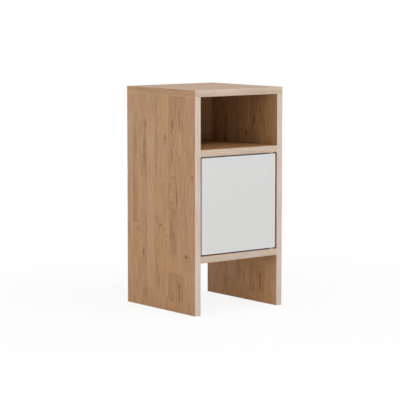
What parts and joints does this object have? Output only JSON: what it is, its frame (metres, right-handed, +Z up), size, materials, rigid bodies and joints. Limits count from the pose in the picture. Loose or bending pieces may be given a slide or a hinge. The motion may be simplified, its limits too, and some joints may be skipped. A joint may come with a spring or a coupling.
{
  "type": "nightstand",
  "caption": "Tall narrow nightstand with an open niche over a cupboard with one inset push-to-open door and an open leg space below.",
  "frame": {"origin": "on the floor, in the middle of the footprint", "axes": "+Z up, +X to the right seen from the front, the front with the door faces -Y"},
  "size_m": [0.296, 0.3, 0.59],
  "materials": {
    "oak_laminate": "satin oak print on melamine-faced particleboard",
    "pale_laminate": "matte pale grey melamine on particleboard",
    "oak_edge_band": "satin oak print on a plastic edge band",
    "pale_edge_band": "matte pale grey edge band",
    "oak_tone_plastic": "matte moulded cover cap",
    "beech": "fluted beech, unfinished",
    "zinc": "die-cast zinc, dull",
    "bright_steel": "zinc-plated steel",
    "brass": "satin brass",
    "nylon": "natural nylon",
    "grey_plastic": "moulded grey plastic"
  },
  "bodies": {
    "root": {"back_panel": "oak_laminate", "back_panel_cam_bolts": "bright_steel", "back_panel_cam_locks": "zinc", "back_panel_dowels": "beech", "back_panel_edge_band": "oak_edge_band", "bottom_shelf": "oak_laminate", "bottom_shelf_cam_bolts": "bright_steel", "bottom_shelf_cam_locks": "zinc", "bottom_shelf_dowels": "beech", "bottom_shelf_edge_band": "oak_edge_band", "cam_cover_caps": "oak_tone_plastic", "latch_housing": "grey_plastic", "latch_screws": "bright_steel", "latch_spring": "bright_steel", "left_side_edge_bands": "oak_edge_band", "left_side_panel": "oak_laminate", "lower_pivot_leaf_on_shelf": "brass", "middle_shelf": "oak_laminate", "middle_shelf_cam_bolts": "bright_steel", "middle_shelf_cam_locks": "zinc", "middle_shelf_dowels": "beech", "middle_shelf_edge_band": "oak_edge_band", "pivot_leaf_screws_on_shelf": "bright_steel", "pivot_pins": "bright_steel", "pivot_washers": "nylon", "right_side_edge_bands": "oak_edge_band", "right_side_panel": "oak_laminate", "top_cam_bolts": "bright_steel", "top_cam_locks": "zinc", "top_dowels": "beech", "top_edge_bands": "oak_edge_band", "top_panel": "oak_laminate", "upper_pivot_leaf_on_shelf": "brass"},
    "door": {"door_panel": "pale_laminate", "door_edge_bands": "pale_edge_band", "lower_pivot_leaf_on_door": "brass", "upper_pivot_leaf_on_door": "brass", "pivot_leaf_screws_on_door": "bright_steel", "strike_disc": "bright_steel", "strike_screw": "bright_steel"},
    "latch_plunger": {"latch_plunger": "grey_plastic", "latch_magnet": "bright_steel"}
  },
  "joints": [
    {"name": "door_hinge", "type": "hinge", "parent": "root", "child": "door", "pos_m": [0.1157, -0.142, 0.286], "axis": [0, 0, 1], "range_deg": [0, 110]},
    {"name": "latch_plunger_slide", "type": "slide", "parent": "root", "child": "latch_plunger", "axis": [0, -1, 0], "range_m": [0, 0.014], "deforming": ["latch_spring"]}
  ],
  "couplings": [
    {"joint": "latch_plunger_slide", "follows": "door_hinge", "m_per_rad": 0.0072921}
  ]
}
